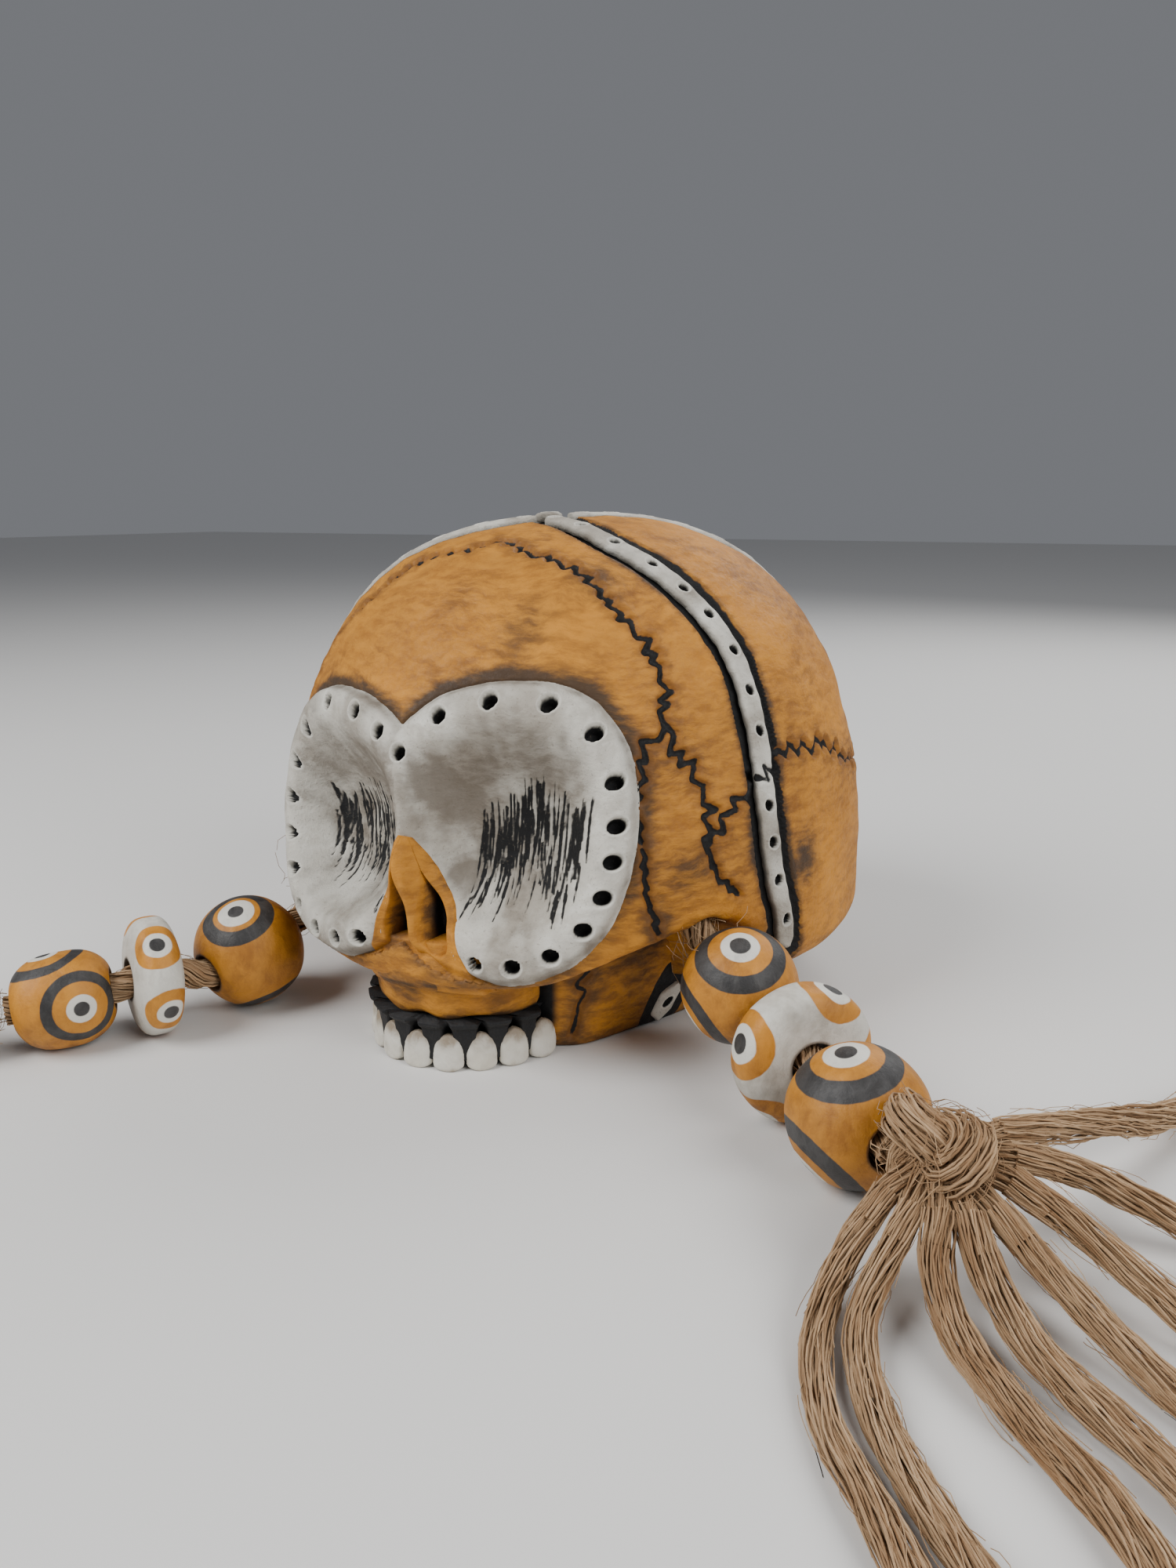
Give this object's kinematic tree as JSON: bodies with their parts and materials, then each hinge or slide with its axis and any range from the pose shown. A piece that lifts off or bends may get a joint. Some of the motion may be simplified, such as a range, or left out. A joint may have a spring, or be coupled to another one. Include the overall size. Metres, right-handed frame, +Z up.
{
  "type": "clay skull ornament",
  "caption": "Hollow painted clay skull with concave eye sockets, threaded on a jute bundle that carries clay eye beads, a knot and a frayed tassel on each side.",
  "frame": {"origin": "on the surface that the skull stands on, on the skull's middle plane, 40 mm behind the front of the nose", "axes": "the face looks along -Y, +Z is up, and +X is the skull's own left, which is a viewer's right"},
  "size_m": [0.2431, 0.1783, 0.0806],
  "materials": {
    "ochre_paint": "brushed ochre paint on fired clay, matt, worn along the carved lines",
    "bone_white_paint": "aged bone white paint on fired clay with a grey-brown patina",
    "charcoal_paint": "matt charcoal paint on fired clay",
    "tooth_white": "off-white paint on fired clay, brown in the hollows",
    "bead_paint": "hand painted ochre, white and charcoal on fired clay",
    "jute": "loosely twisted hairy jute twine"
  },
  "bodies": {
    "skull": {"back_shell": "ochre_paint", "eye_socket_mask": "bone_white_paint", "face_shell": "ochre_paint", "gum_ridge": "charcoal_paint", "jute_bundle_left": "jute", "jute_bundle_right": "jute", "knot_left": "jute", "knot_right": "jute", "nose": "ochre_paint", "rear_band_left": "bone_white_paint", "rear_band_right": "bone_white_paint", "side_band_left": "bone_white_paint", "side_band_right": "bone_white_paint", "skull_base": "ochre_paint", "tassel_left_1": "jute", "tassel_left_2": "jute", "tassel_left_3": "jute", "tassel_left_4": "jute", "tassel_left_5": "jute", "tassel_right_1": "jute", "tassel_right_2": "jute", "tassel_right_3": "jute", "tassel_right_4": "jute", "tassel_right_5": "jute", "tassel_right_6": "jute", "tassel_right_7": "jute", "tassel_right_8": "jute", "tooth_1": "tooth_white", "tooth_2": "tooth_white", "tooth_3": "tooth_white", "tooth_4": "tooth_white", "tooth_5": "tooth_white", "tooth_6": "tooth_white", "tooth_7": "tooth_white", "tooth_8": "tooth_white", "tooth_9": "tooth_white", "upper_jaw": "ochre_paint"},
    "ball_bead_right_inner": {"ball_bead_right_inner": "bead_paint"},
    "disc_bead_right": {"disc_bead_right": "bead_paint"},
    "ball_bead_right_outer": {"ball_bead_right_outer": "bead_paint"},
    "ball_bead_left_inner": {"ball_bead_left_inner": "bead_paint"},
    "disc_bead_left": {"disc_bead_left": "bead_paint"},
    "barrel_bead_left": {"barrel_bead_left": "bead_paint"}
  },
  "joints": [
    {"name": "ball_bead_right_inner_turn", "type": "hinge", "parent": "skull", "child": "ball_bead_right_inner", "pos_m": [0.0434, -0.0157, 0.0143], "axis": [0.76, -0.25, -0.6], "continuous": true},
    {"name": "disc_bead_right_turn", "type": "hinge", "parent": "skull", "child": "disc_bead_right", "pos_m": [0.0552, -0.0235, 0.0099], "axis": [0.6913, -0.7214, -0.0401], "continuous": true},
    {"name": "ball_bead_right_outer_turn", "type": "hinge", "parent": "skull", "child": "ball_bead_right_outer", "pos_m": [0.0659, -0.0351, 0.009], "axis": [0.7121, -0.7021, 0], "continuous": true},
    {"name": "ball_bead_left_inner_turn", "type": "hinge", "parent": "skull", "child": "ball_bead_left_inner", "pos_m": [-0.0388, -0.0274, 0.0093], "axis": [-0.2318, -0.9472, -0.2217], "continuous": true},
    {"name": "disc_bead_left_turn", "type": "hinge", "parent": "skull", "child": "disc_bead_left", "pos_m": [-0.0444, -0.0429, 0.0094], "axis": [-0.5024, -0.8641, 0.0301], "continuous": true},
    {"name": "barrel_bead_left_turn", "type": "hinge", "parent": "skull", "child": "barrel_bead_left", "pos_m": [-0.0531, -0.0527, 0.0075], "axis": [-0.6728, -0.733, -0.1004], "continuous": true}
  ]
}
